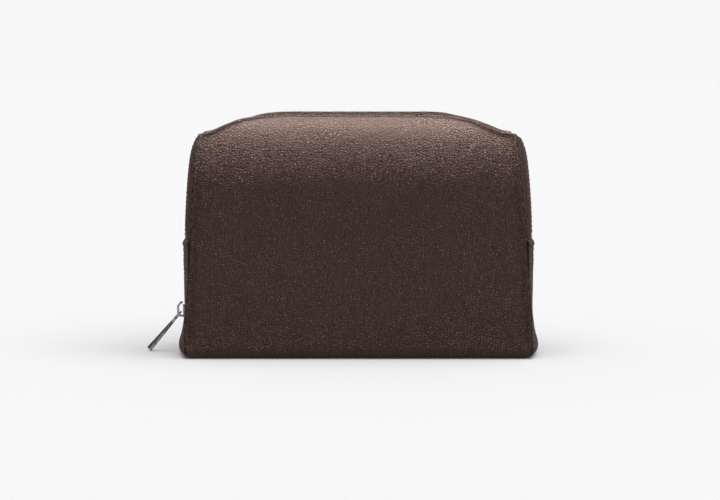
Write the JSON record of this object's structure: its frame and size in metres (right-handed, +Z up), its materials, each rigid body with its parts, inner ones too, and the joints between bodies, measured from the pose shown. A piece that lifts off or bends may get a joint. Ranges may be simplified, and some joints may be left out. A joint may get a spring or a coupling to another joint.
{
  "type": "shaving kit bag",
  "caption": "Soft leather wash bag on a flat base, with a zip running over the arched top and down both sides, a slider with a long metal pull, a cloth lining and an inside slip pocket.",
  "frame": {"origin": "on the floor under the middle of the bag's flat base", "axes": "+Z up, -Y to the front panel, -X to the side where the slider rests with the zip closed"},
  "size_m": [0.2885, 0.1, 0.177],
  "materials": {
    "leather": "pebbled full grain, dark brown, soft semi-matt",
    "lining_cloth": "fine cotton twill",
    "backing_foam": "bonded foam, matt",
    "board": "matt",
    "zip_tape": "woven polyester tape",
    "gunmetal": "polished gunmetal"
  },
  "bodies": {
    "lower_bag": {"body_wrap": "leather", "left_side_panel": "leather", "right_side_panel": "leather", "lower_backing": "backing_foam", "lining_tub": "lining_cloth", "base_board": "board", "left_zip_tapes": "zip_tape", "right_zip_tapes": "zip_tape", "left_zip_chains": "gunmetal", "right_zip_chains": "gunmetal", "zip_top_stops": "gunmetal", "zip_bottom_stop": "gunmetal", "slip_pocket": "lining_cloth", "pocket_binding": "leather", "leather_patch": "leather"},
    "front_half": {"front_upper_panel": "leather", "front_gusset_strip": "leather", "front_upper_backing": "backing_foam", "front_upper_lining": "lining_cloth", "zip_tape_front": "zip_tape", "zip_chain_front": "gunmetal"},
    "back_half": {"back_upper_panel": "leather", "back_gusset_strip": "leather", "back_upper_backing": "backing_foam", "back_upper_lining": "lining_cloth", "zip_tape_back": "zip_tape", "zip_chain_back": "gunmetal"},
    "slider": {"slider_body": "gunmetal", "slider_crown": "gunmetal", "lock_spring": "gunmetal"},
    "pull": {"pull_rod": "gunmetal"}
  },
  "joints": [
    {"name": "front_opens", "type": "hinge", "parent": "lower_bag", "child": "front_half", "pos_m": [0, -0.05, 0.081], "axis": [1, 0, 0], "range_deg": [0, 28]},
    {"name": "back_opens", "type": "hinge", "parent": "lower_bag", "child": "back_half", "pos_m": [0, 0.05, 0.081], "axis": [-1, 0, 0], "range_deg": [0, 28]},
    {"name": "slider_travel", "type": "slide", "parent": "lower_bag", "child": "slider", "axis": [0, 0, 1], "range_m": [0, 0.042]},
    {"name": "pull_swing", "type": "hinge", "parent": "slider", "child": "pull", "pos_m": [-0.13165, 0, 0.029], "axis": [0, 1, 0], "range_deg": [-25, 140]}
  ]
}
